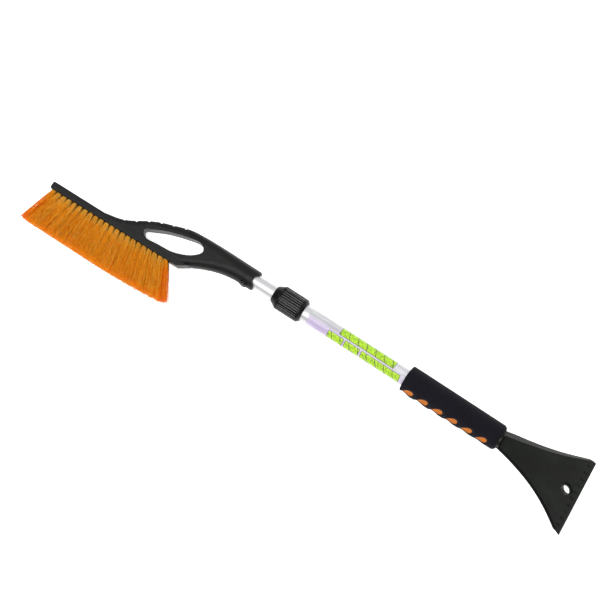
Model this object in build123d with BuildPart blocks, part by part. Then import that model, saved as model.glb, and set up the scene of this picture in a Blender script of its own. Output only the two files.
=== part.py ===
from build123d import *
import math
import os

# Telescopic windshield ice scraper with a snow brush head, in millimetres.
# +X runs along the handle towards the scraper blade, the bristles point towards -Y, and +Z is up as
# the tool lies on its side. The origin is on the handle's axis, halfway along the outer tube's wrap.

# ---- Driving dimensions ----

# Tubes, both aluminium
OUTER_R, OUTER_BORE_R = 11.0, 10.0
INNER_R, INNER_BORE_R = 9.5, 8.6
RUN_CLEARANCE = 0.1  # radial, between parts that slide or turn on each other
FREE_CLEARANCE = 0.35  # radial, between moving parts that never bear on each other

# Stations along the handle
WRAP_HALF_LENGTH = 74.5
WRAP_THICKNESS = 0.2
GRIP_START, GRIP_END = 74.6, 219.0
COLLAR_BACK = -84.2  # the collar's face on the blade side
COLLAR_LENGTH = 45.5
TUBE_FRONT = -107.0  # the outer tube's end, inside the collet
SHANK_LENGTH = 45.0
HEAD_MOUTH = -157.5

# Foam grip
GRIP_R_START, GRIP_R_END = 18.7, 17.8
COVER_THICKNESS = 1.5
GRIP_END_ROUND = 5.5
NOTCH_COUNT, NOTCH_PITCH, NOTCH_FIRST = 6, 22.8, 84.5
NOTCH_CUTTER_R, NOTCH_DEPTH = 8.3, 4.4
NOTCH_SLANT = 32.0  # the finger cuts' slant along the handle, degrees
NOTCH_SIDE, NOTCH_SIDE_STEP = 80.0, -1.4  # where the first cut lies from +Z towards -Y, and the step

# Lock collar and collet
COLLAR_R, COLLAR_NOSE_R, COLLAR_BACK_R = 16.5, 11.2, 13.2
COLLAR_TAPER, COLLAR_BACK_ROUND, COLLAR_LIP = 9.5, 3.3, 2.2
COLLAR_GROOVES, GROOVE_R, GROOVE_DEPTH = 16, 1.5, 1.1
COLLAR_SHOULDER_ROUND = 1.8
GROOVE_START, GROOVE_END = -122.5, -89.5
SLEEVE_R, SLEEVE_SHOULDER = 12.9, 3.0
SLEEVE_BACK = -88.0
FINGER_LENGTH, FINGER_R, FINGER_TIP_R = 15.0, 11.3, 10.7
FINGER_SLOTS, SLOT_WIDTH = 6, 1.6

# Guide ring and end plug at the inner tube's hidden end
PLUG_END = 173.5
PLUG_FLANGE, PLUG_NECK_LENGTH, PLUG_SPIGOT = 3.0, 15.0, 20.0
PLUG_NECK_R, PLUG_FLANGE_R, PLUG_SPIGOT_R = 8.25, 9.4, 8.55
RING_LENGTH, RING_GAP = 14.0, 1.6
PLUG_PIN_R, BLADE_PIN_R, BLADE_PIN_WALL = 1.5, 2.0, 0.6
PIN_INSET = 0.2  # a pin's ends lie this far under the tube's skin

# Brush head. Lengths are measured back from the socket's mouth, drops from the handle's axis to -Y.
SOCKET_R, SOCKET_DEPTH, SOCKET_SCALLOP_R, SOCKET_SCALLOP = 13.5, 60.0, 12.5, 4.5
HEAD_WIDTH, HEAD_LENGTH = 26.0, 293.5
BLOCK_START = 98.5
BLOCK_DROP_START, BLOCK_DROP_END = 39.8, 43.2  # its underside
BLOCK_TOP_START, BLOCK_TOP_END = 30.8, 33.2  # its top
BLOCK_UNDER_ARM = 14.0  # how far its top runs on under the arm
# The arm's cross sections, each (back, top drop, bottom drop, width, corner radius)
ARM_SECTIONS = (
    (18.0, -13.5, 13.5, 27.0, 13.2),
    (37.5, -13.5, 15.0, 26.8, 12.6),
    (57.5, -13.4, 20.0, 26.2, 11.4),
    (77.5, -12.9, 28.3, 26.0, 10.0),
    (98.5, -11.6, 38.4, 26.0, 9.0),
    (106.0, -10.5, 38.5, 26.0, 8.6),
    (117.5, -7.4, 38.6, 26.0, 8.0),
    (137.5, -0.5, 38.8, 26.0, 7.0),
    (157.5, 8.0, 39.2, 26.0, 6.0),
    (177.5, 20.0, 39.6, 25.5, 5.0),
    (197.5, 28.4, 40.0, 25.2, 4.5),
    (217.5, 32.6, 40.3, 25.0, 3.2),
    (237.5, 35.0, 40.6, 24.8, 2.2),
)
LOOP_SECTION = 4  # the section where the loop's span of the arm starts
INLAY_START, INLAY_END = 102.0, 190.0
GROOVE_COUNT, GROOVE_PITCH, FIRST_GROOVE, FINGER_GROOVE_R = 6, 16.3, 97.5, 1.9

# Bristles
TUFTS_PER_ROW, TUFT_FIRST, TUFT_PITCH = 22, 114.5, 8.2
ROW_OFFSETS = (9.0, 3.0, -3.0, -9.0)
TUFT_ROOT_R, TUFT_TIP_R = 2.0, 3.3
TUFT_SEAT, HOLE_DEPTH, HOLE_CLEARANCE = 5.8, 7.2, 0.05
STAPLE_LENGTH, STAPLE_HEIGHT, STAPLE_THICKNESS = 3.6, 1.2, 0.4
TUFT_LENGTH_FIRST, TUFT_LENGTH_LAST = 53.5, 54.5
TRIM_DROP = 94.4
LEAN_FIRST, LEAN_LAST = 27.5, -13.5  # lean of the first and last tuft along the head, degrees
ROW_LEAN = 3.0  # lean of an outer row away from the middle, degrees

# Snap button
BUTTON_BACK = 13.2
BUTTON_TURN = 28.0  # from -Y up towards +Z, degrees
BUTTON_R, BUTTON_HOLE_R, BUTTON_TOP, BUTTON_DOME = 3.6, 3.75, 16.4, 1.6
BUTTON_FLANGE_R, BUTTON_FLANGE_TOP, BUTTON_FLANGE = 4.6, 6.9, 1.4
BOSS_R, BOSS_TOP = 5.4, 14.7
SPRING_THICKNESS, SPRING_WIDTH, SPRING_REACH = 0.5, 6.0, 32.0

# Scraper blade, in its own plane: x from the grip's end, y across it, z out of its face
BLADE_TURN = 41.5  # the face's turn about the handle, from +Z towards -Y, degrees
BLADE_LENGTH, BLADE_HALF_WIDTH = 126.8, 63.4
# The flared side runs through these, each (x, half width), and then straight to the corner
SIDE_POINTS = ((36.0, 21.4), (76.0, 36.8), (115.0, 59.9))
SIDE_START_SLOPE, SIDE_END_SLOPE = 0.25, 0.68
NECK_HALF_WIDTH, NECK_HALF_THICKNESS, NECK_LENGTH = 11.5, 5.0, 14.0
NECK_RING_R, NECK_RING_LENGTH = 11.8, 3.0  # the ring that stops against the outer tube's end
RAMP_END = 62.0  # where the neck has thinned out into the plate
PLATE_THICKNESS, EDGE_THICKNESS, BEVEL = 3.0, 0.8, 5.0
RIM_HEIGHT, RIM_WIDTH = 1.0, 2.6
# The side walls' depth under the face, each (x, depth), from the ramp's end to the wall's end
WALL_DEPTHS = ((62.0, 6.8), (100.0, 4.6), (118.8, 2.2))
CURVE_START, CURVE_R = 12.0, 410.0
HANG_HOLE_R, HANG_HOLE_BACK, HANG_RING_R, HANG_RING_HEIGHT = 6.4, 19.8, 9.0, 1.4
TOOTH_COUNT, TOOTH_PITCH, TOOTH_WIDTH, TOOTH_HEIGHT, TOOTH_LENGTH = 10, 11.4, 1.6, 0.7, 5.5


# ---- Helpers ----

pieces = {}


def keep(name, builder):
    """Labels a finished piece and lists it for export."""
    builder.part.label = name
    pieces[name] = builder.part


def outline_face(*points):
    """A face with straight sides, added to the open sketch."""
    with BuildLine() as outline:
        Polyline(*points, close=True)
    make_face(outline.edges())


def in_head(back, drop):
    """A point of the head's side view, in the XY plane."""
    return (HEAD_MOUTH - back, -drop)


def direction(turn):
    """The unit vector across the handle that lies this many degrees from +Z towards -Y."""
    return Vector(0, -math.sin(math.radians(turn)), math.cos(math.radians(turn)))


# ---- Outer shaft ----

blade_pin_x = GRIP_END - 0.6 * SHANK_LENGTH

with BuildPart() as outer_tube:
    with BuildSketch(Plane.YZ.offset(TUBE_FRONT)):
        Circle(OUTER_R)
        Circle(OUTER_BORE_R, mode=Mode.SUBTRACT)
    extrude(amount=GRIP_END - TUBE_FRONT)
    with Locations((blade_pin_x, 0, 0)):
        Cylinder(BLADE_PIN_R, 2 * OUTER_R, mode=Mode.SUBTRACT)
keep("outer_tube", outer_tube)

# The printed film that is wrapped round the tube.
with BuildPart() as tube_wrap:
    with BuildSketch(Plane.YZ.offset(-WRAP_HALF_LENGTH)):
        Circle(OUTER_R + WRAP_THICKNESS)
        Circle(OUTER_R, mode=Mode.SUBTRACT)
    extrude(amount=2 * WRAP_HALF_LENGTH)
keep("tube_wrap", tube_wrap)

# A slotted spring pin through the outer tube and the blade's shank.
with BuildPart() as blade_pin:
    with BuildSketch(Plane.XY.offset(PIN_INSET - OUTER_R)):
        with Locations((blade_pin_x, 0)):
            Circle(BLADE_PIN_R)
            Circle(BLADE_PIN_R - BLADE_PIN_WALL, mode=Mode.SUBTRACT)
        with Locations((blade_pin_x + BLADE_PIN_R, 0)):
            Rectangle(BLADE_PIN_R, BLADE_PIN_WALL, mode=Mode.SUBTRACT)
    extrude(amount=2 * (OUTER_R - PIN_INSET))
keep("blade_pin", blade_pin)


def foam_half_section(inset, mode=Mode.ADD):
    """The grip's half section, drawn this far inside its outer skin, in the open sketch."""
    start, end = GRIP_START + inset, GRIP_END - inset
    rounding = GRIP_END_ROUND - inset
    with BuildLine() as outline:
        Polyline(
            (end, GRIP_R_END - inset - rounding),
            (end, OUTER_R),
            (start, OUTER_R),
            (start, GRIP_R_START - inset),
            (end - rounding, GRIP_R_END - inset),
        )
        RadiusArc((end - rounding, GRIP_R_END - inset), (end, GRIP_R_END - inset - rounding), rounding)
    make_face(outline.edges(), mode=mode)


def cut_finger_notches():
    """Six slanted finger cuts along one side, taken out of the open part."""
    slant = math.radians(NOTCH_SLANT)
    reach = GRIP_R_START + NOTCH_CUTTER_R - NOTCH_DEPTH
    for number in range(NOTCH_COUNT):
        side = NOTCH_SIDE + number * NOTCH_SIDE_STEP
        middle = Vector(NOTCH_FIRST + number * NOTCH_PITCH, 0, 0) + direction(side) * reach
        along_skin = direction(side - 90)
        cutter_axis = along_skin * math.cos(slant) + Vector(1, 0, 0) * math.sin(slant)
        with Locations(Plane(origin=middle, z_dir=cutter_axis)):
            Cylinder(NOTCH_CUTTER_R, 4 * NOTCH_CUTTER_R, mode=Mode.SUBTRACT)


with BuildPart() as grip_core:
    with BuildSketch(Plane.XY):
        foam_half_section(COVER_THICKNESS)
    revolve(axis=Axis.X)
    cut_finger_notches()
keep("grip_core", grip_core)

with BuildPart() as grip_cover:
    with BuildSketch(Plane.XY):
        foam_half_section(0)
        foam_half_section(COVER_THICKNESS, Mode.SUBTRACT)
    revolve(axis=Axis.X)
    cut_finger_notches()
keep("grip_cover", grip_cover)

# The collet: a sleeve glued on the outer tube's end, with split fingers that clamp the inner tube.
finger_base = TUBE_FRONT - SLEEVE_SHOULDER
finger_tip = finger_base - FINGER_LENGTH
with BuildPart() as collet:
    with BuildSketch(Plane.XY):
        outline_face(
            (SLEEVE_BACK, OUTER_R),
            (SLEEVE_BACK, SLEEVE_R),
            (finger_base, SLEEVE_R),
            (finger_base, FINGER_R),
            (finger_tip, FINGER_TIP_R),
            (finger_tip, INNER_R + RUN_CLEARANCE),
            (TUBE_FRONT, INNER_R + RUN_CLEARANCE),
            (TUBE_FRONT, OUTER_R),
        )
    revolve(axis=Axis.X)
    with BuildSketch(Plane.YZ.offset(finger_tip)):
        with PolarLocations(INNER_R + RUN_CLEARANCE, FINGER_SLOTS):
            Rectangle(2 * (FINGER_R - INNER_R), SLOT_WIDTH)
    extrude(amount=FINGER_LENGTH - 1, mode=Mode.SUBTRACT)
keep("collet", collet)

# ---- Lock collar ----

collar_front = COLLAR_BACK - COLLAR_LENGTH
collar_bore_r = SLEEVE_R + RUN_CLEARANCE
nose_bore_r = INNER_R + FREE_CLEARANCE
with BuildPart() as lock_collar:
    with BuildSketch(Plane.XY):
        outline_face(
            (collar_front, nose_bore_r),
            (collar_front, COLLAR_NOSE_R),
            (collar_front + COLLAR_TAPER, COLLAR_R),
            (COLLAR_BACK - COLLAR_BACK_ROUND, COLLAR_R),
            (COLLAR_BACK, COLLAR_BACK_R),
            (COLLAR_BACK, OUTER_R + FREE_CLEARANCE),
            (COLLAR_BACK - COLLAR_LIP, OUTER_R + FREE_CLEARANCE),
            (COLLAR_BACK - COLLAR_LIP, collar_bore_r),
            (finger_base - FREE_CLEARANCE, collar_bore_r),
            (finger_base - FREE_CLEARANCE, FINGER_R + FREE_CLEARANCE),
            (finger_tip - FREE_CLEARANCE, FINGER_TIP_R + FREE_CLEARANCE),
            (finger_tip - FREE_CLEARANCE, nose_bore_r),
        )
    revolve(axis=Axis.X)
    skin_edges = edges().filter_by(GeomType.CIRCLE)
    shoulder_edges = skin_edges.group_by(SortBy.RADIUS)[-1]
    fillet(shoulder_edges, COLLAR_SHOULDER_ROUND)
    with BuildSketch(Plane.YZ.offset(GROOVE_START)):
        with PolarLocations(COLLAR_R + GROOVE_R - GROOVE_DEPTH, COLLAR_GROOVES):
            Circle(GROOVE_R)
    extrude(amount=GROOVE_END - GROOVE_START, mode=Mode.SUBTRACT)
keep("lock_collar", lock_collar)

# ---- Inner shaft ----

plug_neck_end = PLUG_END - PLUG_FLANGE
plug_neck_start = plug_neck_end - PLUG_NECK_LENGTH
inner_tube_end = plug_neck_start - PLUG_FLANGE
plug_pin_x = inner_tube_end - PLUG_SPIGOT / 2
socket_floor = HEAD_MOUTH - SOCKET_DEPTH
button_x = HEAD_MOUTH - BUTTON_BACK
button_out = direction(90 - BUTTON_TURN)
button_plane = Plane(origin=(button_x, 0, 0), x_dir=(1, 0, 0), z_dir=button_out)

with BuildPart() as inner_tube:
    with BuildSketch(Plane.YZ.offset(socket_floor + 1)):
        Circle(INNER_R)
        Circle(INNER_BORE_R, mode=Mode.SUBTRACT)
    extrude(amount=inner_tube_end - socket_floor - 1)
    with Locations((plug_pin_x, 0, 0)):
        Cylinder(PLUG_PIN_R, 2 * INNER_R, mode=Mode.SUBTRACT)
    with BuildSketch(button_plane):
        Circle(BUTTON_HOLE_R)
    extrude(amount=2 * INNER_R, mode=Mode.SUBTRACT)
keep("inner_tube", inner_tube)

with BuildPart() as end_plug:
    with BuildSketch(Plane.XY):
        outline_face(
            (inner_tube_end - PLUG_SPIGOT, 0),
            (inner_tube_end - PLUG_SPIGOT, PLUG_SPIGOT_R),
            (inner_tube_end, PLUG_SPIGOT_R),
            (inner_tube_end, PLUG_FLANGE_R),
            (plug_neck_start, PLUG_FLANGE_R),
            (plug_neck_start, PLUG_NECK_R),
            (plug_neck_end, PLUG_NECK_R),
            (plug_neck_end, PLUG_FLANGE_R),
            (PLUG_END, PLUG_FLANGE_R),
            (PLUG_END, 0),
        )
    revolve(axis=Axis.X)
    with Locations((plug_pin_x, 0, 0)):
        Cylinder(PLUG_PIN_R, 2 * INNER_R, mode=Mode.SUBTRACT)
keep("end_plug", end_plug)

with BuildPart() as plug_pin:
    with Locations((plug_pin_x, 0, 0)):
        Cylinder(PLUG_PIN_R, 2 * (INNER_R - PIN_INSET))
keep("plug_pin", plug_pin)

# A split ring that slides in the outer tube and lets the plug turn inside it.
ring_start = (plug_neck_start + plug_neck_end - RING_LENGTH) / 2
with BuildPart() as guide_ring:
    with BuildSketch(Plane.YZ.offset(ring_start)):
        Circle(OUTER_BORE_R - RUN_CLEARANCE)
        Circle(PLUG_NECK_R + RUN_CLEARANCE, mode=Mode.SUBTRACT)
        with Locations((0, OUTER_BORE_R)):
            Rectangle(RING_GAP, 2 * (OUTER_BORE_R - PLUG_NECK_R + RUN_CLEARANCE), mode=Mode.SUBTRACT)
    extrude(amount=RING_LENGTH)
keep("guide_ring", guide_ring)

# ---- Brush head ----


def arm_section(back, top, bottom, width, corner):
    """One rounded cross section of the arm, between two drops."""
    with BuildSketch(Plane.YZ.offset(HEAD_MOUTH - back)) as section:
        with Locations((-(top + bottom) / 2, 0)):
            RectangleRounded(bottom - top, width, corner)
    return section.sketch


with BuildPart() as arm:
    sections = [arm_section(*section) for section in ARM_SECTIONS]
    loft(sections[: LOOP_SECTION + 1])
    loft(sections[LOOP_SECTION:])

arm_start = ARM_SECTIONS[0][0]
with BuildPart() as socket:
    with BuildSketch(Plane.YZ.offset(HEAD_MOUTH - arm_start)):
        Circle(SOCKET_R)
    extrude(amount=arm_start)
    chamfer(edges().filter_by(GeomType.CIRCLE).sort_by(Axis.X)[-1], 1.6)

# The brush block, seen from the side and then rounded.
with BuildPart() as block:
    with BuildSketch(Plane.XY.offset(-HEAD_WIDTH / 2)):
        with BuildLine():
            Polyline(
                in_head(BLOCK_START, BLOCK_DROP_START),
                in_head(HEAD_LENGTH, BLOCK_DROP_END),
                in_head(HEAD_LENGTH, BLOCK_TOP_END),
                in_head(BLOCK_START - BLOCK_UNDER_ARM, BLOCK_TOP_START),
                close=True,
            )
        make_face()
    extrude(amount=HEAD_WIDTH)
    fillet(edges().filter_by(Axis.Z).group_by(Axis.X)[0], 2.0)
    fillet(edges().filter_by(Axis.Z, reverse=True).group_by(Axis.Z)[0], 1.5)
    fillet(edges().filter_by(Axis.Z, reverse=True).group_by(Axis.Z)[-1], 1.5)

with BuildPart() as hand_opening:
    with BuildSketch(Plane.XY.offset(-HEAD_WIDTH)):
        with BuildLine():
            Spline(
                in_head(159.0, 24.2),
                in_head(154.5, 29.2),
                in_head(136.0, 29.6),
                in_head(115.5, 28.1),
                in_head(97.5, 22.6),
                in_head(84.5, 14.5),
                in_head(79.0, 5.2),
                in_head(86.0, -1.2),
                in_head(99.5, -0.6),
                in_head(117.5, 4.0),
                in_head(137.5, 11.0),
                in_head(153.5, 18.4),
                periodic=True,
            )
        make_face()
    extrude(amount=2 * HEAD_WIDTH)


def underside(back):
    """The drop of the brush block's underside."""
    share = (back - BLOCK_START) / (HEAD_LENGTH - BLOCK_START)
    return BLOCK_DROP_START + share * (BLOCK_DROP_END - BLOCK_DROP_START)


def along_brush(back, first, last):
    """A value that goes evenly from the first tuft's to the last tuft's."""
    return first + (back - TUFT_FIRST) / ((TUFTS_PER_ROW - 1) * TUFT_PITCH) * (last - first)


def tuft_planes(row):
    """A plane at each tuft's root in this row, its z along the tuft."""
    planes = []
    staggered = row % 2
    for number in range(TUFTS_PER_ROW - staggered):
        back = TUFT_FIRST + (number + staggered / 2) * TUFT_PITCH
        lean = math.radians(along_brush(back, LEAN_FIRST, LEAN_LAST))
        sideways = math.radians(ROW_LEAN * ROW_OFFSETS[row] / ROW_OFFSETS[0])
        root = (*in_head(back, underside(back)), ROW_OFFSETS[row])
        along = Vector(math.tan(lean), -1, math.tan(sideways)).normalized()
        planes.append(Plane(origin=root, z_dir=along))
    return planes


rows = [tuft_planes(row) for row in range(len(ROW_OFFSETS))]
all_tufts = [plane for row in rows for plane in row]

# The whole head before the rubber inlay is parted from it.
with BuildPart() as head_blank:
    add(arm.part)
    add(socket.part)
    add(block.part)
    with BuildSketch(button_plane):
        Circle(BOSS_R)
    extrude(amount=BOSS_TOP)
    add(hand_opening.part, mode=Mode.SUBTRACT)
    with BuildSketch(Plane.YZ.offset(HEAD_MOUTH)):
        Circle(INNER_R + HOLE_CLEARANCE)
    extrude(amount=-SOCKET_DEPTH, mode=Mode.SUBTRACT)
    with BuildSketch(button_plane):
        Circle(BUTTON_HOLE_R)
    extrude(amount=2 * SOCKET_R, mode=Mode.SUBTRACT)
    with BuildSketch(Plane.XY.offset(-HEAD_WIDTH)):
        with Locations((HEAD_MOUTH + SOCKET_SCALLOP_R - SOCKET_SCALLOP, 0)):
            Circle(SOCKET_SCALLOP_R)
    extrude(amount=2 * HEAD_WIDTH, mode=Mode.SUBTRACT)

# The space of the rubber inlay: the upper half of the loop's bar.
with BuildPart() as inlay_space:
    with BuildSketch(Plane.XY.offset(-HEAD_WIDTH)):
        with BuildLine():
            inlay_line = Spline(
                in_head(INLAY_START, -10.0),
                in_head(INLAY_START + 6, -5.5),
                in_head(137.5, 5.0),
                in_head(157.5, 13.8),
                in_head(170.0, 24.0),
                in_head(INLAY_END, 28.5),
            )
            Polyline(inlay_line @ 1, in_head(INLAY_END, -25), in_head(INLAY_START, -25), inlay_line @ 0)
        make_face()
    extrude(amount=2 * HEAD_WIDTH)

# The line along the top of the arm, which the inlay's finger grooves follow.
with BuildLine(Plane.XY) as arm_top:
    Spline(*[in_head(back, top) for back, top, *_ in ARM_SECTIONS])

with BuildPart() as rubber_inlay:
    add(head_blank.part)
    add(inlay_space.part, mode=Mode.INTERSECT)
    for number in range(GROOVE_COUNT):
        along = FIRST_GROOVE + number * GROOVE_PITCH
        spot = arm_top.edge().position_at(along, position_mode=PositionMode.LENGTH)
        with Locations(spot):
            Cylinder(FINGER_GROOVE_R, 2 * HEAD_WIDTH, mode=Mode.SUBTRACT)
keep("rubber_inlay", rubber_inlay)

with BuildPart() as brush_head:
    add(head_blank.part)
    add(inlay_space.part, mode=Mode.SUBTRACT)
    for tuft in all_tufts:
        with Locations(tuft):
            Cylinder(TUFT_ROOT_R + HOLE_CLEARANCE, 2 * HOLE_DEPTH, mode=Mode.SUBTRACT)
keep("brush_head", brush_head)

# ---- Bristles ----

trim_plane = Plane(origin=(0, -TRIM_DROP, 0), z_dir=(0, -1, 0))


def bristle_row(planes):
    """One row of tufts, each set in its hole and flared, and all trimmed to one line."""
    with BuildPart() as row:
        for tuft in planes:
            length = along_brush(HEAD_MOUTH - tuft.origin.X, TUFT_LENGTH_FIRST, TUFT_LENGTH_LAST)
            with Locations(tuft.offset(-TUFT_SEAT)):
                Cylinder(TUFT_ROOT_R, TUFT_SEAT, align=(Align.CENTER, Align.CENTER, Align.MIN))
            with Locations(tuft):
                Cone(TUFT_ROOT_R, TUFT_TIP_R, length, align=(Align.CENTER, Align.CENTER, Align.MIN))
        split(bisect_by=trim_plane, keep=Keep.BOTTOM)
    return row


for number, planes in enumerate(rows, start=1):
    keep(f"bristle_row_{number}", bristle_row(planes))

# A flat staple under each tuft, across the bottom of its hole.
with BuildPart() as tuft_staples:
    for tuft in all_tufts:
        with Locations(tuft.offset(-(TUFT_SEAT + HOLE_DEPTH) / 2)):
            Box(STAPLE_LENGTH, STAPLE_THICKNESS, STAPLE_HEIGHT)
keep("tuft_staples", tuft_staples)

# ---- Snap button ----

with BuildPart() as snap_button:
    with BuildSketch(button_plane.offset(BUTTON_FLANGE_TOP - BUTTON_FLANGE)):
        Circle(BUTTON_FLANGE_R)
    extrude(amount=BUTTON_FLANGE)
    with BuildSketch(button_plane.offset(BUTTON_FLANGE_TOP)):
        Circle(BUTTON_R)
    extrude(amount=BUTTON_TOP - BUTTON_FLANGE_TOP)
    outward_axis = Axis((button_x, 0, 0), button_out)
    fillet(edges().filter_by(GeomType.CIRCLE).sort_by(outward_axis)[-1], BUTTON_DOME)
keep("snap_button", snap_button)

# A V-shaped leaf spring in the inner tube, from under the button to the far wall.
spring_top = BUTTON_FLANGE_TOP - BUTTON_FLANGE - SPRING_THICKNESS / 2
spring_bottom = -math.sqrt(INNER_BORE_R**2 - (SPRING_WIDTH / 2) ** 2) + SPRING_THICKNESS
spring_plane = Plane(origin=(button_x, 0, 0), x_dir=(1, 0, 0), z_dir=Vector(1, 0, 0).cross(button_out))
with BuildPart() as button_spring:
    with BuildSketch(spring_plane):
        with BuildLine():
            FilletPolyline(
                (-BUTTON_R, spring_top),
                (BUTTON_FLANGE_R, spring_top),
                (SPRING_REACH, (spring_top + spring_bottom) / 2),
                (-BUTTON_R, spring_bottom),
                radius=1.5,
            )
        trace(line_width=SPRING_THICKNESS)
    extrude(amount=SPRING_WIDTH / 2, both=True)
keep("button_spring", button_spring)

# ---- Scraper blade ----

blade_plan = Plane(origin=(GRIP_END, 0, 0), x_dir=(1, 0, 0), z_dir=direction(BLADE_TURN))
blade_side = Plane(origin=(GRIP_END, 0, 0), x_dir=(1, 0, 0), z_dir=-blade_plan.y_dir)
blade_reach = 2 * BLADE_HALF_WIDTH  # past the blade on both sides


def face_height(along, above=0.0):
    """The height of the blade's face over the handle's axis, or of a curve above it."""
    turn = max(0.0, along - CURVE_START)
    radius = CURVE_R - above
    return NECK_HALF_THICKNESS + CURVE_R - math.sqrt(radius**2 - turn**2)


def plan_outline(inset=0.0, mode=Mode.ADD):
    """The flared plan of the blade, its two sides drawn in by the inset, in the open sketch."""
    corner = (BLADE_LENGTH, BLADE_HALF_WIDTH - inset)
    with BuildLine() as outline:
        side = Spline(
            (0, NECK_HALF_WIDTH - inset),
            *[(along, half_width - inset) for along, half_width in SIDE_POINTS],
            tangents=((1, SIDE_START_SLOPE), (1, SIDE_END_SLOPE)),
        )
        edge_side = Line(side @ 1, corner)
        mirror((side, edge_side), about=Plane.XZ)
        Line(corner, (corner[0], -corner[1]))
        Line(side @ 0, (0, inset - NECK_HALF_WIDTH))
    make_face(outline.edges(), mode=mode)


with BuildPart() as plate:
    with BuildSketch(blade_side):
        with BuildLine():
            tip = (BLADE_LENGTH, face_height(BLADE_LENGTH))
            face_curve = ThreePointArc(
                (CURVE_START, NECK_HALF_THICKNESS),
                (BLADE_LENGTH / 2, face_height(BLADE_LENGTH / 2)),
                tip,
            )
            bevel_start = BLADE_LENGTH - BEVEL
            back_middle = (RAMP_END + bevel_start) / 2
            back_start = (RAMP_END, face_height(RAMP_END, -PLATE_THICKNESS))
            back_end = (bevel_start, face_height(bevel_start, -PLATE_THICKNESS))
            ThreePointArc(back_start, (back_middle, face_height(back_middle, -PLATE_THICKNESS)), back_end)
            Polyline(
                back_start,
                (NECK_LENGTH, -NECK_HALF_THICKNESS),
                (0, -NECK_HALF_THICKNESS),
                (0, NECK_HALF_THICKNESS),
                (CURVE_START, NECK_HALF_THICKNESS),
            )
            Polyline(back_end, (BLADE_LENGTH, tip[1] - EDGE_THICKNESS), tip)
        make_face()
    extrude(amount=blade_reach, both=True)
    with BuildSketch(blade_plan):
        plan_outline()
    extrude(amount=blade_reach, both=True, mode=Mode.INTERSECT)

# The side walls and back ribs share one side view, raised over the face only at the walls.
wall_end = WALL_DEPTHS[-1][0]
with BuildPart() as walls:
    with BuildSketch(blade_side):
        with BuildLine():
            ThreePointArc(
                (CURVE_START, NECK_HALF_THICKNESS + RIM_HEIGHT),
                (wall_end / 2, face_height(wall_end / 2, RIM_HEIGHT)),
                (wall_end, face_height(wall_end, RIM_HEIGHT)),
            )
            wall_foot = Spline(
                (NECK_LENGTH, -NECK_HALF_THICKNESS),
                *[(along, face_height(along) - depth) for along, depth in WALL_DEPTHS],
            )
            Line((wall_end, face_height(wall_end, RIM_HEIGHT)), wall_foot @ 1)
            Polyline(
                wall_foot @ 0,
                (0, -NECK_HALF_THICKNESS),
                (0, NECK_HALF_THICKNESS + RIM_HEIGHT),
                (CURVE_START, NECK_HALF_THICKNESS + RIM_HEIGHT),
            )
        make_face()
    extrude(amount=blade_reach, both=True)
    with BuildSketch(blade_plan):
        plan_outline()
        plan_outline(RIM_WIDTH, Mode.SUBTRACT)
    extrude(amount=blade_reach, both=True, mode=Mode.INTERSECT)

# Where the hang hole crosses the curved plate, its axis stands square on the face.
hole_along = BLADE_LENGTH - HANG_HOLE_BACK
hole_slope = math.degrees(math.asin((hole_along - CURVE_START) / CURVE_R))
hole_normal = blade_plan.z_dir.rotate(Axis((0, 0, 0), blade_plan.y_dir), -hole_slope)
hole_spot = blade_plan.from_local_coords(Vector(hole_along, 0, face_height(hole_along)))
hole_plane = Plane(origin=hole_spot, x_dir=blade_plan.y_dir, z_dir=hole_normal)

with BuildPart() as teeth:
    with BuildSketch(blade_plan):
        with Locations((BLADE_LENGTH - BEVEL - TOOTH_LENGTH / 2, 0)):
            with GridLocations(0, TOOTH_PITCH, 1, TOOTH_COUNT):
                RectangleRounded(TOOTH_LENGTH, TOOTH_WIDTH, 0.45 * TOOTH_WIDTH)
    extrude(amount=blade_reach)
    with BuildSketch(blade_side):
        with BuildLine():
            tooth_start, tooth_end = BLADE_LENGTH - BEVEL - TOOTH_LENGTH - 2, BLADE_LENGTH - BEVEL + 2
            Polyline(
                (tooth_start, face_height(tooth_start) - 1),
                (tooth_start, face_height(tooth_start, TOOTH_HEIGHT)),
                (tooth_end, face_height(tooth_end, TOOTH_HEIGHT)),
                (tooth_end, face_height(tooth_end) - 1),
                close=True,
            )
        make_face()
    extrude(amount=blade_reach, both=True, mode=Mode.INTERSECT)

with BuildPart() as scraper_blade:
    with BuildSketch(Plane.YZ.offset(GRIP_END - SHANK_LENGTH)):
        Circle(OUTER_BORE_R - HOLE_CLEARANCE)
    extrude(amount=SHANK_LENGTH)
    with BuildSketch(Plane.YZ.offset(GRIP_END)):
        Circle(NECK_RING_R)
    extrude(amount=NECK_RING_LENGTH)
    add(plate.part)
    add(walls.part)
    add(teeth.part)
    with BuildSketch(hole_plane.offset(-PLATE_THICKNESS - HANG_RING_HEIGHT)):
        Circle(HANG_RING_R)
    extrude(amount=PLATE_THICKNESS + 2 * HANG_RING_HEIGHT)
    with BuildSketch(hole_plane.offset(-3 * PLATE_THICKNESS)):
        Circle(HANG_HOLE_R)
    extrude(amount=6 * PLATE_THICKNESS, mode=Mode.SUBTRACT)
    with Locations((blade_pin_x, 0, 0)):
        Cylinder(BLADE_PIN_R, 2 * OUTER_R, mode=Mode.SUBTRACT)
keep("scraper_blade", scraper_blade)

# ---- Export ----

os.makedirs("parts", exist_ok=True)
for name, part in pieces.items():
    export_step(part, f"parts/{name}.step")
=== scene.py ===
import math

import bpy
import numpy as np
from mathutils import Matrix, Vector


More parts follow.
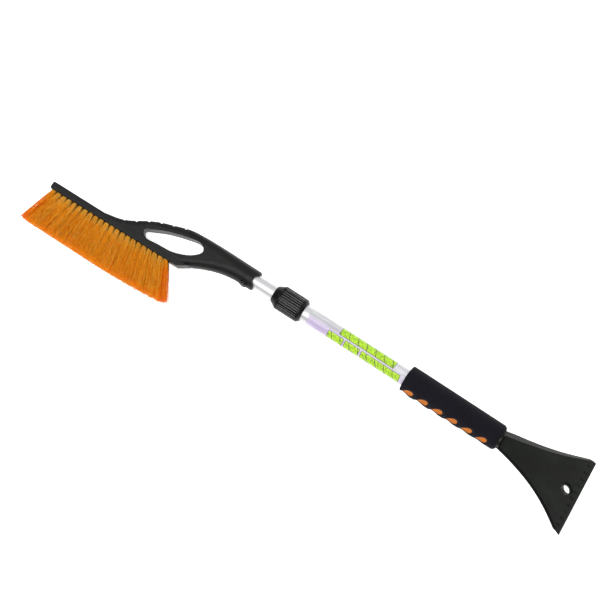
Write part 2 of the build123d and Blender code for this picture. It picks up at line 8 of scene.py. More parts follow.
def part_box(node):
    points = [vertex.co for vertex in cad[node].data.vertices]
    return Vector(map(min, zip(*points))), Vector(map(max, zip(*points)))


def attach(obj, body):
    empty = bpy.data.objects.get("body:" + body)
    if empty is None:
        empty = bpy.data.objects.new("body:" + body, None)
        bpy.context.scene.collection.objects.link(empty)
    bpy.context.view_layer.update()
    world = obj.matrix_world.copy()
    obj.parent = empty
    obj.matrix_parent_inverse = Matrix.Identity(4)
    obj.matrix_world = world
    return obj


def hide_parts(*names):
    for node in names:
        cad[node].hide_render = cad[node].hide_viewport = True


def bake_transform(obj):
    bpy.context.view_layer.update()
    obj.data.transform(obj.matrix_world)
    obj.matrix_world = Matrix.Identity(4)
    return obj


# The looks of a telescopic windshield ice scraper with a snow brush head. Metres, in the row frame:
# +X along the handle towards the scraper blade, -Y the way the bristles point, +Z up.

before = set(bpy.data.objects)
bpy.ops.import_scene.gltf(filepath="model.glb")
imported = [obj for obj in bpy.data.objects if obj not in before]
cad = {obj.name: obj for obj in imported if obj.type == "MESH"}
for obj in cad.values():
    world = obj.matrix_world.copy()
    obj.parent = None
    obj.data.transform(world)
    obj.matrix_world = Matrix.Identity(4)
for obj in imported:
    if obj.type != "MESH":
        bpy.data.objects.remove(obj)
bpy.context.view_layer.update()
random = np.random.default_rng(11)
MM = 0.001

# ---- Camera ----

TURN_TO_BLADE = math.radians(10.0)  # the view leans towards the blade's end
TILT_TO_TIPS = math.radians(5.5)  # and towards the bristles' tips
HANDLE_SLANT = math.radians(32.75)  # the handle's fall to the right across the view
VIEW_CENTRE = Vector((-0.0979, 0.0106, 0.0))
VIEW_WIDTH = 0.7718
LENS = 400.0

to_camera = Vector((math.sin(TURN_TO_BLADE), -math.sin(TILT_TO_TIPS), 1.0)).normalized()
view_right = Vector((math.cos(HANDLE_SLANT), math.sin(HANDLE_SLANT), 0.0))
view_right = (view_right - view_right.dot(to_camera) * to_camera).normalized()
view_up = to_camera.cross(view_right)


def place_camera():
    """A long lens high over the object, as it lies on the floor."""
    lens = bpy.data.cameras.new("camera")
    lens.lens = LENS
    distance = VIEW_WIDTH * LENS / lens.sensor_width
    camera = bpy.data.objects.new("camera", lens)
    bpy.context.scene.collection.objects.link(camera)
    turn = Matrix((view_right, view_up, to_camera)).transposed().to_4x4()
    camera.matrix_world = Matrix.Translation(VIEW_CENTRE + to_camera * distance) @ turn
    bpy.context.scene.camera = camera


# ---- Building materials ----


class Look:
    """One procedural material being built, over the object's own coordinates."""

    def __init__(self, name, **settings):
        self.material = bpy.data.materials.new(name)
        self.material.use_nodes = True
        self.nodes = self.material.node_tree.nodes
        self.links = self.material.node_tree.links
        self.shader = self.nodes["Principled BSDF"]
        self.place = self.nodes.new("ShaderNodeTexCoord").outputs["Object"]
        for socket, value in settings.items():
            self.set(socket, value)

    def feed(self, socket, value):
        """Links a socket, or sets its own value."""
        if isinstance(value, bpy.types.NodeSocket):
            self.links.new(value, socket)
        else:
            socket.default_value = value

    def set(self, socket, value):
        """Feeds one of the shader's sockets, named with _ for a space."""
        self.feed(self.shader.inputs[socket.replace("_", " ")], value)

    def math(self, operation, *values):
        """One sum on sockets or plain numbers."""
        node = self.nodes.new("ShaderNodeMath")
        node.operation = operation
        for socket, value in zip(node.inputs, values):
            self.feed(socket, value)
        return node.outputs[0]

    def axes(self):
        """The object's coordinates as three numbers."""
        node = self.nodes.new("ShaderNodeSeparateXYZ")
        self.feed(node.inputs[0], self.place)
        return node.outputs[0], node.outputs[1], node.outputs[2]

    def noise(self, size, stretch=(1, 1, 1), detail=2.0, contrast=0.5):
        """Noise with grains of about this size in metres, longer along the stretched axes."""
        mapping = self.nodes.new("ShaderNodeMapping")
        self.feed(mapping.inputs["Vector"], self.place)
        mapping.inputs["Scale"].default_value = [1 / (size * s) for s in stretch]
        node = self.nodes.new("ShaderNodeTexNoise")
        self.feed(node.inputs["Vector"], mapping.outputs[0])
        node.inputs["Scale"].default_value = 1.0
        node.inputs["Detail"].default_value = detail
        node.inputs["Roughness"].default_value = contrast
        return node.outputs["Fac"]

    def cells(self, size, feature="F1"):
        """Distance inside round cells of about this size in metres."""
        node = self.nodes.new("ShaderNodeTexVoronoi")
        node.feature = feature
        self.feed(node.inputs["Vector"], self.place)
        node.inputs["Scale"].default_value = 1 / size
        return node.outputs["Distance"]

    def between(self, value, low, high, to_low=0.0, to_high=1.0):
        """A smooth step of the value from low to high."""
        node = self.nodes.new("ShaderNodeMapRange")
        node.interpolation_type = "SMOOTHSTEP"
        for socket, number in zip(node.inputs, (value, low, high, to_low, to_high)):
            self.feed(socket, number)
        return node.outputs[0]

    def band(self, value, low, high, soft):
        """1 where the value is inside the band, 0 outside."""
        rise = self.between(value, low - soft, low + soft)
        fall = self.between(value, high - soft, high + soft)
        return self.math("MULTIPLY", rise, self.math("SUBTRACT", 1.0, fall))

    def ramp(self, value, *stops):
        """Colours along the value, each stop (position, (r, g, b))."""
        node = self.nodes.new("ShaderNodeValToRGB")
        points = node.color_ramp.elements
        while len(points) < len(stops):
            points.new(1.0)
        for point, (position, colour) in zip(points, stops):
            point.position = position
            point.color = (*colour, 1.0)
        self.feed(node.inputs[0], value)
        return node.outputs[0]

    def mix(self, share, first, second):
        """The first colour at share 0 and the second at 1."""
        node = self.nodes.new("ShaderNodeMix")
        node.data_type = "RGBA"
        sockets = [s for s in node.inputs if s.enabled]
        for socket, value in zip(sockets, (share, first, second)):
            is_colour = isinstance(value, tuple)
            self.feed(socket, (*value, 1.0) if is_colour else value)
        return [s for s in node.outputs if s.enabled][0]

    def relief(self, *layers):
        """Bump from (height field, depth in metres) layers."""
        normal = None
        for height, depth in layers:
            node = self.nodes.new("ShaderNodeBump")
            node.inputs["Distance"].default_value = depth
            self.feed(node.inputs["Height"], height)
            if normal is not None:
                self.feed(node.inputs["Normal"], normal)
            normal = node.outputs[0]
        self.set("Normal", normal)


# ---- Materials ----


def moulded_plastic(name, dark, light, specular, roughness, grain, depth):
    """Moulded black plastic: fine spark-eroded grain, faint flow marks and thin rubbed scratches."""
    look = Look(name, Specular_IOR_Level=specular)
    flow = look.noise(22 * MM, (2.5, 1, 1), 3.0)
    scratches = look.between(look.noise(0.9 * MM, (14, 1, 1.6), 2.0, 0.4), 0.66, 0.74)
    colour = look.ramp(flow, (0.32, dark), (0.72, light))
    worn = tuple(1.7 * c + 0.008 for c in light)
    look.set("Base_Color", look.mix(look.math("MULTIPLY", scratches, 0.35), colour, worn))
    gloss = look.between(look.noise(6 * MM, detail=4.0), 0.3, 0.7, roughness - 0.05, roughness + 0.06)
    look.set("Roughness", gloss)
    look.relief((look.noise(grain, detail=3.0), depth), (scratches, 0.02 * MM))
    return look.material


COLLAR_GROOVES = 16
GROOVE_EDGE = 0.22  # half a groove's width, as a share of the grooves' pitch
# Where the painted highlight lines lie beside a groove, as shares of the grooves' pitch.
PAINTED_GLINT_FROM, PAINTED_GLINT_TO = GROOVE_EDGE - 0.01, GROOVE_EDGE + 0.05
COLLAR_NOSE, COLLAR_REAR = 12 * MM, 6 * MM  # the smooth ends, beyond the grooves


def collar_plastic():
    """Glossy moulded black plastic, with painted highlight lines along the edges of the grip grooves."""
    look = Look("collar_plastic", Specular_IOR_Level=0.14)
    flow = look.noise(15 * MM, (2.5, 1, 1), 3.0)
    along, side, up = look.axes()
    pitches = look.math("DIVIDE", look.math("ARCTAN2", up, side), 2 * math.pi / COLLAR_GROOVES)
    fraction = look.math("FRACT", look.math("ADD", pitches, 0.5))
    from_groove = look.math("ABSOLUTE", look.math("SUBTRACT", fraction, 0.5))
    # Painted highlight: thin light lines along the rib edges, where the groove edges would catch the
    # light.
    edges = look.band(from_groove, PAINTED_GLINT_FROM, PAINTED_GLINT_TO, 0.012)
    low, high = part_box("lock_collar")
    grooved = look.band(along, low.x + COLLAR_NOSE, high.x - COLLAR_REAR, 1.0 * MM)
    painted_glint = look.math("MULTIPLY", edges, grooved)
    painted_glint = look.math("MULTIPLY", painted_glint, look.between(flow, 0.2, 0.6, 0.3, 0.9))
    colour = look.ramp(flow, (0.32, (0.0035, 0.0035, 0.0035)), (0.72, (0.0065, 0.0065, 0.0065)))
    # The painted highlight lines are light grey over the black.
    look.set("Base_Color", look.mix(painted_glint, colour, (0.30, 0.30, 0.30)))
    look.set("Roughness", look.between(look.noise(6 * MM, detail=4.0), 0.3, 0.7, 0.20, 0.30))
    look.relief((look.noise(0.7 * MM, detail=3.0), 0.02 * MM))
    return look.material


def soft_rubber():
    """Matte rubber with a close stipple."""
    look = Look("soft_rubber", Specular_IOR_Level=0.2)
    stipple = look.cells(0.9 * MM)
    dust = look.noise(9 * MM, detail=4.0)
    look.set("Base_Color", look.ramp(dust, (0.3, (0.006, 0.006, 0.007)), (0.75, (0.011, 0.0105, 0.012))))
    look.set("Roughness", look.between(dust, 0.3, 0.7, 0.58, 0.72))
    look.relief((stipple, 0.09 * MM), (look.noise(0.4 * MM), 0.03 * MM))
    return look.material


def drawn_aluminium():
    """Satin drawn tube, with fine lines along it."""
    look = Look("drawn_aluminium", Metallic=1.0)
    lines = look.noise(0.35 * MM, (160, 1, 1), 3.0, 0.6)
    clouds = look.noise(18 * MM, (2, 1, 1), 3.0)
    look.set("Base_Color", look.ramp(lines, (0.3, (0.58, 0.58, 0.59)), (0.7, (0.74, 0.74, 0.75))))
    shade = look.math("MULTIPLY_ADD", clouds, 0.10, look.math("MULTIPLY_ADD", lines, 0.12, 0.40))
    look.set("Roughness", shade)
    look.relief((lines, 0.012 * MM))
    return look.material


def bright_steel():
    """Plated steel with faint drawing marks."""
    look = Look("bright_steel", Metallic=1.0)
    marks = look.noise(0.5 * MM, (1, 1, 12), 3.0)
    look.set("Base_Color", look.ramp(marks, (0.3, (0.42, 0.42, 0.43)), (0.7, (0.62, 0.62, 0.63))))
    look.set("Roughness", look.between(marks, 0.3, 0.7, 0.22, 0.36))
    look.relief((marks, 0.02 * MM))
    return look.material


def natural_acetal():
    """Uncoloured acetal, slightly cloudy."""
    look = Look("natural_acetal", Subsurface_Weight=0.05)
    clouds = look.noise(5 * MM, detail=4.0)
    look.set("Base_Color", look.ramp(clouds, (0.3, (0.60, 0.60, 0.57)), (0.7, (0.70, 0.70, 0.67))))
    look.set("Roughness", look.between(clouds, 0.3, 0.7, 0.32, 0.42))
    look.relief((look.noise(0.5 * MM), 0.02 * MM))
    return look.material


WRAP_R = 11.2 * MM
BLOCK_PITCH = 13.4 * MM
BLOCK_SLANT = 0.45
OUTLINE = 0.7  # the dark edge of a block, millimetres
DIVIDER_INSET = -0.2  # added to the inset where two blocks meet, millimetres
SEAM_GIRTH = 29.0 * MM
# The printed rows, each (low girth, high girth, start, end), in millimetres.
PRINT_ROWS = (
    (-0.2, 13.2, -29.0, 54.5),
    (-15.0, -2.2, -43.0, -19.6),
    (-15.0, -2.2, -17.6, 5.0),
    (-15.0, -2.2, 7.6, 67.5),
)


def printed_film(start, end):
    """Pearl and lilac film round the tube, with rows of slanted lime blocks."""
    look = Look("printed_film", Coat_Weight=0.15, Coat_Roughness=0.2, Metallic=0.05)
    along, across, up = look.axes()
    turn = look.math("ARCTAN2", across, up)
    girth = look.math("MULTIPLY", turn, WRAP_R)
    clouds = look.noise(26 * MM, (1.6, 1, 1), 4.0)
    streaks = look.noise(2.0 * MM, (40, 1, 1), 2.0)
    pearl = look.ramp(clouds, (0.35, (0.58, 0.58, 0.60)), (0.65, (0.74, 0.74, 0.76)))
    pearl = look.mix(look.between(streaks, 0.5, 0.62, 0.0, 0.7), pearl, (0.40, 0.41, 0.45))
    lilac = look.ramp(
        clouds,
        (0.32, (0.51, 0.42, 0.64)),
        (0.62, (0.66, 0.59, 0.73)),
        (0.75, (0.78, 0.75, 0.81)),
    )
    upper = look.between(look.math("MULTIPLY_ADD", clouds, 6 * MM, girth), -1.0 * MM, 6.0 * MM)
    colour = look.mix(upper, lilac, pearl)

    # Slanted blocks with a dark edge, each block cut unevenly by thin dark lines.
    slanted = look.math("MULTIPLY_ADD", girth, BLOCK_SLANT, along)
    fraction = look.math("FRACT", look.math("DIVIDE", slanted, BLOCK_PITCH))
    cell = look.math("MULTIPLY", fraction, BLOCK_PITCH)
    uneven = look.noise(2.4 * MM, detail=2.0)
    lime = look.ramp(uneven, (0.35, (0.38, 0.66, 0.008)), (0.65, (0.55, 0.88, 0.02)))
    cuts = look.band(look.noise(4.0 * MM, (1.0, 1, 1), 1.0), 0.48, 0.52, 0.006)
    lime = look.mix(look.math("MULTIPLY", cuts, 0.75), lime, (0.04, 0.08, 0.015))
    for row in PRINT_ROWS:
        edge = block_row(look, cell, girth, along, row, 0.0)
        fill = block_row(look, cell, girth, along, row, OUTLINE)
        colour = look.mix(look.math("MULTIPLY", edge, 0.95), colour, (0.03, 0.05, 0.012))
        colour = look.mix(fill, colour, lime)
    inside = look.band(along, start + 0.5 * MM, end - 0.5 * MM, 0.2 * MM)
    colour = look.mix(look.math("MULTIPLY_ADD", inside, -0.5, 0.5), colour, (0.35, 0.35, 0.36))
    look.set("Base_Color", colour)
    look.set("Roughness", look.between(clouds, 0.3, 0.7, 0.36, 0.48))
    seam = look.band(girth, SEAM_GIRTH, SEAM_GIRTH + 0.5 * MM, 0.1 * MM)
    look.relief((look.noise(3 * MM, (3, 1, 1)), 0.04 * MM), (seam, 0.02 * MM))
    return look.material


def block_row(look, cell, girth, along, row, inset):
    """The blocks of one printed row, drawn in by the inset in millimetres."""
    low, high, first, last = row
    soft = 0.1 * MM
    side_inset = (inset + DIVIDER_INSET) * MM
    blocks = look.band(cell, side_inset, BLOCK_PITCH - side_inset, soft)
    height = look.band(girth, (low + inset) * MM, (high - inset) * MM, soft)
    length = look.band(along, (first + inset) * MM, (last - inset) * MM, soft)
    return look.math("MULTIPLY", blocks, look.math("MULTIPLY", height, length))


def closed_cell_foam(name, dark, light):
    """Matte closed-cell foam, with fine pores and a cut skin."""
    look = Look(name, Sheen_Weight=0.03, Sheen_Roughness=0.5, Specular_IOR_Level=0.12)
    pores = look.cells(0.7 * MM)
    large = look.cells(2.3 * MM, "SMOOTH_F1")
    mottle = look.noise(3.5 * MM, detail=5.0, contrast=0.65)
    look.set("Base_Color", look.ramp(mottle, (0.3, dark), (0.7, light)))
    look.set("Roughness", look.between(mottle, 0.3, 0.7, 0.82, 0.95))
    look.relief((large, 0.10 * MM), (pores, 0.14 * MM), (look.noise(0.3 * MM), 0.05 * MM))
    return look.material


def bristle_filament():
    """Orange plastic filament. Each one has its own tone, from tan yellow to red orange."""
    look = Look("bristle_filament", Specular_IOR_Level=0.12)
    tone = look.nodes.new("ShaderNodeAttribute")
    tone.attribute_name = "tone"
    mottle = look.noise(2.1 * MM, detail=2.0)
    value = look.math("MULTIPLY_ADD", look.math("SUBTRACT", mottle, 0.5), 2.0, tone.outputs["Fac"])
    colour = look.ramp(
        value,
        (0.0, (1.0, 0.58, 0.10)),
        (0.3, (1.0, 0.43, 0.010)),
        (0.65, (1.0, 0.33, 0.004)),
        (1.0, (1.0, 0.17, 0.006)),
    )
    # Painted shade: the shade attribute darkens the filaments towards dark brown near their roots.
    shade = look.nodes.new("ShaderNodeAttribute")
    shade.attribute_name = "shade"
    look.set("Base_Color", look.mix(shade.outputs["Fac"], colour, (0.06, 0.035, 0.008)))
    look.set("Roughness", look.between(mottle, 0.3, 0.7, 0.34, 0.5))
    return look.material


def floor_paper():
    """A pale studio sweep that glows a little, so that shadows on it stay faint."""
    look = Look("floor_paper", Specular_IOR_Level=0.1, Emission_Strength=0.8)
    fibres = look.noise(40 * MM, detail=5.0)
    look.set("Base_Color", look.ramp(fibres, (0.3, (0.93, 0.93, 0.93)), (0.7, (0.95, 0.95, 0.95))))
    look.set("Emission_Color", look.ramp(fibres, (0.3, (0.97, 0.97, 0.97)), (0.7, (1.0, 1.0, 1.0))))
    look.set("Roughness", look.between(fibres, 0.3, 0.7, 0.8, 0.9))
    return look.material


def paint(piece, material):
    """Gives a piece this one material."""
    piece.data.materials.clear()
    piece.data.materials.append(material)


# ---- Meshes ----


def mesh_piece(name, points, faces, material, body):
    """A smooth mesh object that rides on a CAD body."""
    mesh = bpy.data.meshes.new(name)
    mesh.from_pydata([tuple(p) for p in points], [], [tuple(f) for f in faces])
    mesh.update()
    mesh.shade_smooth()
    piece = bpy.data.objects.new(name, mesh)
    bpy.context.scene.collection.objects.link(piece)
    paint(piece, material)
    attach(piece, body)
    return piece


# ---- Button spring ----


def leaf_spring(material):
    """The snap button's V-shaped leaf spring, whose near leg goes in with the button on the real part;
    here one fixed copy of the CAD spring.
    """
    mesh = cad["button_spring"].data.copy()
    piece = bpy.data.objects.new("leaf_spring", mesh)
    bpy.context.scene.collection.objects.link(piece)
    paint(piece, material)
    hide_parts("button_spring")
    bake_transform(piece)


# ---- Foam grip ----

COVER_THICKNESS = 1.5 * MM
GRIP_TUBE_END_R, GRIP_BLADE_END_R, GRIP_BORE_R = 18.7 * MM, 17.8 * MM, 11.02 * MM
GRIP_STATIONS, GRIP_TURNS = 330, 240
GRIP_WAVE, GRIP_GRAIN = 0.04 * MM, 0.012 * MM
NOTCH_COUNT, NOTCH_PITCH, NOTCH_FIRST = 6, 22.8 * MM, 84.5 * MM
NOTCH_R, NOTCH_REACH = 8.3 * MM, 22.6 * MM
NOTCH_SIDE, NOTCH_SIDE_STEP = 80.0, -1.4
NOTCH_SLANT = math.radians(32.0)
GRIP_END_ROUND = 5.5 * MM
GRIP_SQUARE_ROUND = 0.9 * MM


def across(turn):
    """The unit vector across the handle that lies this many degrees from +Z towards -Y."""
    return np.array((0.0, -math.sin(math.radians(turn)), math.cos(math.radians(turn))))


def notch_floor(x, outward):
    """How far out the foam reaches before a finger cut, on rays from the handle's axis."""
    reach = np.full(x.shape, 1.0)
    for number in range(NOTCH_COUNT):
        side = NOTCH_SIDE + number * NOTCH_SIDE_STEP
        middle = np.array((NOTCH_FIRST + number * NOTCH_PITCH, 0, 0)) + across(side) * NOTCH_REACH
        axis = across(side - 90) * math.cos(NOTCH_SLANT) + np.array((math.sin(NOTCH_SLANT), 0, 0))
        start = np.stack([x, 0 * x, 0 * x], -1) - middle
        start = start - (start @ axis)[..., None] * axis
        along = outward - (outward @ axis)[..., None] * axis
        a = (along**2).sum(-1)
        b = (start * along).sum(-1)
        c = (start**2).sum(-1) - NOTCH_R**2
        inside = b * b - a * c
        hit = (-b - np.sqrt(np.maximum(inside, 0))) / a
        reach = np.minimum(reach, np.where((inside > 0) & (hit > 0), hit, 1.0))
    return reach


def soft_minimum(first, second, blend):
    """The smaller of two fields, rounded where they cross."""
    share = np.clip(0.5 + 0.5 * (second - first) / blend, 0, 1)
    return second * (1 - share) + first * share - blend * share * (1 - share)


def foam_sleeve(name, inset, rim, material, node):
    """The foam's outer skin at this inset, with its finger cuts, closed by its ends and its bore."""
    low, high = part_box("grip_cover")
    start, end = low.x + inset, high.x - inset
    stations = np.linspace(start, end, GRIP_STATIONS)
    turns = np.linspace(0, 2 * math.pi, GRIP_TURNS, endpoint=False)
    x, turn = np.meshgrid(stations, turns, indexing="ij")
    outward = np.stack([0 * x, -np.sin(turn), np.cos(turn)], -1)
    share = (x - low.x) / (high.x - low.x)
    skin = GRIP_TUBE_END_R + share * (GRIP_BLADE_END_R - GRIP_TUBE_END_R) - inset
    for distance, rounding in ((end - x, GRIP_END_ROUND - inset), (x - start, GRIP_SQUARE_ROUND)):
        into = np.clip(rounding - distance, 0, rounding)
        skin = skin - rounding + np.sqrt(rounding**2 - into**2)
    radius = soft_minimum(skin, notch_floor(x, outward), rim)
    if inset == 0:
        # Inside the finger cuts the black skin drops below the orange core.
        hidden = skin - radius - COVER_THICKNESS
        radius = np.where(hidden > 0, radius - 0.25 * hidden, radius)
    # Slight waves along and round the skin, and a fine grain.
    waves = np.sin(x * 310 + 3 * np.sin(turn * 2)) * np.sin(turn * 5 + x * 90)
    radius = radius + GRIP_WAVE * waves + random.normal(0, GRIP_GRAIN, x.shape)
    points = (np.stack([x, 0 * x, 0 * x], -1) + outward * radius[..., None]).reshape(-1, 3)
    rings, around = x.shape
    ring = np.arange(around)
    ahead = (ring + 1) % around
    faces = []
    for n in range(rings - 1):
        here, there = n * around, (n + 1) * around
        faces.extend(zip(here + ring, here + ahead, there + ahead, there + ring))
    bore = outward[0] * GRIP_BORE_R
    inner = np.stack([bore + (start, 0, 0), bore + (end, 0, 0)])
    points = np.concatenate([points, inner.reshape(-1, 3)])
    bore_start, bore_end = rings * around, rings * around + around
    last = (rings - 1) * around
    faces.extend(zip(bore_start + ring, bore_start + ahead, ahead, ring))
    faces.extend(zip(last + ring, last + ahead, bore_end + ahead, bore_end + ring))
    faces.extend(zip(bore_end + ring, bore_end + ahead, bore_start + ahead, bore_start + ring))
    piece = mesh_piece(name, points, faces, material, "outer_shaft")
    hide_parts(node)
    return piece


# ---- Bristles ----

TUFTS_PER_ROW, TUFT_PITCH, TUFT_FIRST = 22, 8.2 * MM, 114.5 * MM
ROW_OFFSETS = (9.0 * MM, 3.0 * MM, -3.0 * MM, -9.0 * MM)
UNDERSIDE_START, UNDERSIDE_END = (98.5 * MM, 39.8 * MM), (293.5 * MM, 43.2 * MM)
LEAN_FIRST, LEAN_LAST = 27.5, -13.5
SIDE_LEAN = math.radians(3.0)  # of the two outer rows
FILAMENTS_PER_TUFT = 100
FILAMENT_R, FILAMENT_TAPER = 0.22 * MM, 0.72
FILAMENT_STEPS = 13
FILAMENT_LENGTHS, LENGTH_SPREAD = (53.5 * MM, 54.5 * MM), 0.6 * MM  # first tuft and last
TIP_JITTER = 0.26  # as a share of the tuft's radius
CRIMP_WAVES, CRIMP_SIZES = (3.0, 4.6), (0.12 * MM, 0.34 * MM)
TONE, TONE_SPREAD = 0.42, 0.16  # 0 is tan yellow, 1 is red orange
PALE_ROOT, PALE_SHARE = 0.45, 0.3
RED_TIP, RED_SHARE = 0.3, 0.1
RED_END, RED_END_FROM = 0.3, 0.95  # the tufts at both ends of the head
TUFT_ROOT_R, TUFT_TIP_R = 1.9 * MM, 6.6 * MM
TRIM_DROP, TRIM_SPREAD = 94.4 * MM, 0.35 * MM
ROOT_SINK = 2.0 * MM
PAINTED_ROOT_SHADES, SHADED_SHARE = (0.1, 0.9, 0.9, 0.1), 0.3  # painted shade at the roots, where the head shades them, most in the inner rows
SPLAYED_ENDS, SPLAY = 0.96, (1.3 * MM, 0.2 * MM)  # the end tufts' stray filaments, and how far they bend
FAR_EDGE = 0.75  # the far tufts' straight outer side, as a share of their radius


def tuft_lines(row):
    """The (root, direction, share along the head) of each tuft in a row."""
    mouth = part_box("brush_head")[1].x
    slope = (UNDERSIDE_END[1] - UNDERSIDE_START[1]) / (UNDERSIDE_END[0] - UNDERSIDE_START[0])
    sideways = SIDE_LEAN * ROW_OFFSETS[row] / ROW_OFFSETS[0]
    staggered = row % 2
    lines = []
    for number in range(TUFTS_PER_ROW - staggered):
        back = TUFT_FIRST + (number + staggered / 2) * TUFT_PITCH
        share = (back - TUFT_FIRST) / ((TUFTS_PER_ROW - 1) * TUFT_PITCH)
        lean = math.radians(LEAN_FIRST + share * (LEAN_LAST - LEAN_FIRST))
        drop = UNDERSIDE_START[1] + (back - UNDERSIDE_START[0]) * slope
        root = np.array((mouth - back, -drop, ROW_OFFSETS[row]))
        direction = np.array((math.tan(lean), -1.0, math.tan(sideways)))
        lines.append((root, direction / np.linalg.norm(direction), share))
    return lines


def filament_paths(root, direction, share):
    """Centre lines of one tuft's filaments, and a tone for each."""
    count = FILAMENTS_PER_TUFT
    side = np.cross(direction, (0, 0, 1.0))
    side /= np.linalg.norm(side)
    other = np.cross(side, direction)
    spread = np.sqrt(random.uniform(0, 1, count))
    angle = random.uniform(0, 2 * math.pi, count)
    at = np.stack([spread * np.cos(angle), spread * np.sin(angle)], -1)
    tip_at = at + random.normal(0, TIP_JITTER, (count, 2))
    if share > SPLAYED_ENDS:
        at[:, 0] = np.minimum(at[:, 0], FAR_EDGE)
        tip_at[:, 0] = np.minimum(tip_at[:, 0], FAR_EDGE)
    first_length, last_length = FILAMENT_LENGTHS
    length = first_length + share * (last_length - first_length)
    length = length + random.normal(0, LENGTH_SPREAD, count)
    t = np.linspace(0, 1, FILAMENT_STEPS + 1)[None, :, None]
    flare = TUFT_ROOT_R + (TUFT_TIP_R - TUFT_ROOT_R) * t**0.5
    cross = at[:, None, :] * (1 - t) + tip_at[:, None, :] * t
    centre = root - direction * ROOT_SINK
    reach = (length[:, None, None] + ROOT_SINK) * t
    paths = centre + direction * reach + (side * cross[..., :1] + other * cross[..., 1:]) * flare
    phase = random.uniform(0, 2 * math.pi, (count, 1, 1))
    waves = random.uniform(*CRIMP_WAVES, (count, 1, 1))
    size = random.uniform(*CRIMP_SIZES, (count, 1, 1))
    crimp = np.sin(phase + t * waves * 2 * math.pi) * size * np.clip(t * 6, 0, 1)
    twist = random.uniform(0, 2 * math.pi, (count, 1, 1))
    paths = paths + crimp * (side * np.cos(twist) + other * np.sin(twist))
    return paths, random.normal(TONE, TONE_SPREAD, count)


def trimmed(paths):
    """Paths cut off at the trim line, each keeping its number of points."""
    limit = -TRIM_DROP + random.normal(0, TRIM_SPREAD, len(paths))
    tips, roots = paths[:, -1, 1], paths[:, 0, 1]
    share = np.clip((limit - roots) / (tips - roots), 0, 1)
    steps = paths.shape[1]
    spots = share[:, None] * np.arange(steps)[None, :]
    low = np.floor(spots).astype(int).clip(0, steps - 2)
    part = (spots - low)[..., None]
    rows = np.arange(len(paths))[:, None]
    return paths[rows, low] * (1 - part) + paths[rows, low + 1] * part


def point_values(mesh, name, values):
    """Gives a mesh one number per point, three times each for a filament's three corners."""
    attribute = mesh.attributes.new(name, "FLOAT", "POINT")
    attribute.data.foreach_set("value", np.repeat(values.reshape(-1), 3).astype(np.float32))


def filament_mesh(name, paths, tones, root_shade, material):
    """Three-sided filaments along their paths, tapered to the tip."""
    count, steps, _ = paths.shape
    ahead = np.gradient(paths, axis=1)
    ahead /= np.linalg.norm(ahead, axis=2, keepdims=True)
    side = np.cross(ahead, (0, 0, 1.0))
    side /= np.linalg.norm(side, axis=2, keepdims=True)
    other = np.cross(ahead, side)
    turn = np.arange(3) * 2 * math.pi / 3
    taper = np.linspace(1.0, FILAMENT_TAPER, steps)[None, :, None, None] * FILAMENT_R
    rim = side[:, :, None] * np.cos(turn)[:, None] + other[:, :, None] * np.sin(turn)[:, None]
    points = (paths[:, :, None] + rim * taper).reshape(-1, 3)
    base = (np.arange(count) * steps * 3)[:, None, None]
    step = (np.arange(steps - 1) * 3)[None, :, None]
    corner = np.arange(3)[None, None, :]
    after = (corner + 1) % 3
    a, b = base + step + corner, base + step + after
    sides = np.stack([a, b, b + 3, a + 3], -1).reshape(-1, 4)
    last = (base + (steps - 1) * 3)[:, 0]
    tips = np.concatenate([last, last + 1, last + 2], 1)
    faces = [tuple(f) for f in sides.tolist()] + [tuple(f) for f in tips.tolist()]
    piece = mesh_piece(name, points.tolist(), faces, material, "inner_shaft")
    t = np.linspace(0, 1, steps)[None, :]
    pale_root = PALE_ROOT * np.clip(1 - t / PALE_SHARE, 0, 1)
    red_tip = RED_TIP * np.clip((t - 1 + RED_SHARE) / RED_SHARE, 0, 1)
    point_values(piece.data, "tone", tones[:, None] - pale_root + red_tip)
    # Painted shade: each filament darkens towards its root, as if shaded by the head.
    painted_root_shade = root_shade * np.clip(1 - t / SHADED_SHARE, 0, 1)
    point_values(piece.data, "shade", np.repeat(painted_root_shade, count, 0))
    return piece


def brush_rows(material):
    """The four rows of tufts as single filaments."""
    for row in range(len(ROW_OFFSETS)):
        paths, tones = [], []
        for root, direction, share in tuft_lines(row):
            tuft, tone = filament_paths(root, direction, share)
            end_share = abs(2 * share - 1)
            if end_share > SPLAYED_ENDS:
                stray = np.abs(random.normal(0, SPLAY[share > 0.5], (len(tuft), 1)))
                splay = stray * math.copysign(1, 0.5 - share)
                tuft[:, :, 0] += splay * np.linspace(0, 1, tuft.shape[1]) ** 2
            paths.append(tuft)
            tones.append(tone + RED_END * max(0.0, end_share - RED_END_FROM) / (1 - RED_END_FROM))
        paths = trimmed(np.concatenate(paths))
        tones = np.concatenate(tones)
        piece = filament_mesh(f"bristles_{row + 1}", paths, tones, PAINTED_ROOT_SHADES[row], material)
        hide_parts(f"bristle_row_{row + 1}")


# ---- Floor and light ----

FLOOR_SIZE, FLOOR_CELLS = 9.0, 24
SURROUND = 0.38


def lay_floor(material):
    """A pale floor that the blade and the brush head both touch."""
    blade_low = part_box("scraper_blade")[0].z
    head_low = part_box("brush_head")[0].z
    head_x, blade_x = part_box("brush_head")[0].x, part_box("scraper_blade")[1].x
    slope = (blade_low - head_low) / (blade_x - head_x)
    steps = np.linspace(-FLOOR_SIZE / 2, FLOOR_SIZE / 2, FLOOR_CELLS + 1)
    side = FLOOR_CELLS + 1
    points = [(x, y, head_low + (x - head_x) * slope) for x in steps for y in steps]
    faces = []
    for i in range(FLOOR_CELLS):
        for j in range(FLOOR_CELLS):
            corner = i * side + j
            faces.append((corner, corner + side, corner + side + 1, corner + 1))
    mesh = bpy.data.meshes.new("floor")
    mesh.from_pydata(points, [], faces)
    floor = bpy.data.objects.new("floor", mesh)
    bpy.context.scene.collection.objects.link(floor)
    paint(floor, material)


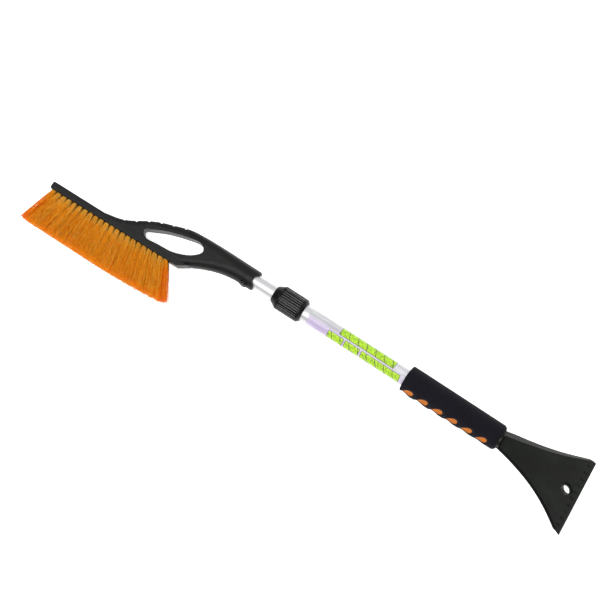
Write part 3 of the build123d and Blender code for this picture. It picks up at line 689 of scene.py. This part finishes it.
def soft_box(name, place, size, power):
    """A square lamp that faces the object."""
    light = bpy.data.lights.new(name, "AREA")
    light.shape = "SQUARE"
    light.size = size
    light.energy = power
    lamp = bpy.data.objects.new(name, light)
    bpy.context.scene.collection.objects.link(lamp)
    aim = (VIEW_CENTRE - Vector(place)).normalized()
    lamp.rotation_mode = "QUATERNION"
    lamp.rotation_quaternion = aim.to_track_quat("-Z", "Y")
    lamp.location = place


def light_scene():
    """An even pale surround, a broad key on the bristles' side and a weaker fill across from it."""
    world = bpy.data.worlds.new("studio")
    world.use_nodes = True
    background = world.node_tree.nodes["Background"]
    background.inputs["Color"].default_value = (1.0, 1.0, 1.0, 1.0)
    background.inputs["Strength"].default_value = SURROUND
    bpy.context.scene.world = world
    soft_box("key", place=(-0.4, -0.7, 2.2), size=1.8, power=38.0)
    soft_box("fill", place=(0.2, 1.5, 1.5), size=1.9, power=13.0)
    bpy.context.scene.view_settings.view_transform = "Standard"


# ---- The scene ----

place_camera()

head_black = moulded_plastic(
    "head_plastic",
    dark=(0.0050, 0.0056, 0.0050),
    light=(0.0085, 0.0098, 0.0080),
    specular=0.18,
    roughness=0.40,
    grain=0.5 * MM,
    depth=0.05 * MM,
)
blade_black = moulded_plastic(
    "blade_plastic",
    dark=(0.0035, 0.0042, 0.0032),
    light=(0.0070, 0.0100, 0.0060),
    specular=0.20,
    roughness=0.38,
    grain=0.6 * MM,
    depth=0.04 * MM,
)
button_black = moulded_plastic(
    "button_plastic",
    dark=(0.010, 0.010, 0.010),
    light=(0.018, 0.018, 0.018),
    specular=0.5,
    roughness=0.22,
    grain=0.5 * MM,
    depth=0.02 * MM,
)
collar_black = collar_plastic()
rubber = soft_rubber()
aluminium = drawn_aluminium()
steel = bright_steel()
acetal = natural_acetal()
wrap_low, wrap_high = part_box("tube_wrap")
film = printed_film(wrap_low.x, wrap_high.x)
black_foam = closed_cell_foam("black_foam", (0.0055, 0.0052, 0.0085), (0.0105, 0.0100, 0.0150))
orange_foam = closed_cell_foam("orange_foam", (0.50, 0.135, 0.012), (0.64, 0.195, 0.024))
filament = bristle_filament()

finishes = {
    "outer_tube": aluminium,
    "inner_tube": aluminium,
    "tube_wrap": film,
    "scraper_blade": blade_black,
    "blade_pin": steel,
    "collet": acetal,
    "lock_collar": collar_black,
    "guide_ring": acetal,
    "end_plug": head_black,
    "plug_pin": steel,
    "brush_head": head_black,
    "rubber_inlay": rubber,
    "tuft_staples": steel,
    "snap_button": button_black,
}
for name, material in finishes.items():
    paint(cad[name], material)

foam_sleeve("foam_cover", 0.0, 1.0 * MM, black_foam, "grip_cover")
foam_sleeve("foam_core", COVER_THICKNESS, 0.6 * MM, orange_foam, "grip_core")
brush_rows(filament)
leaf_spring(steel)

lay_floor(floor_paper())
light_scene()
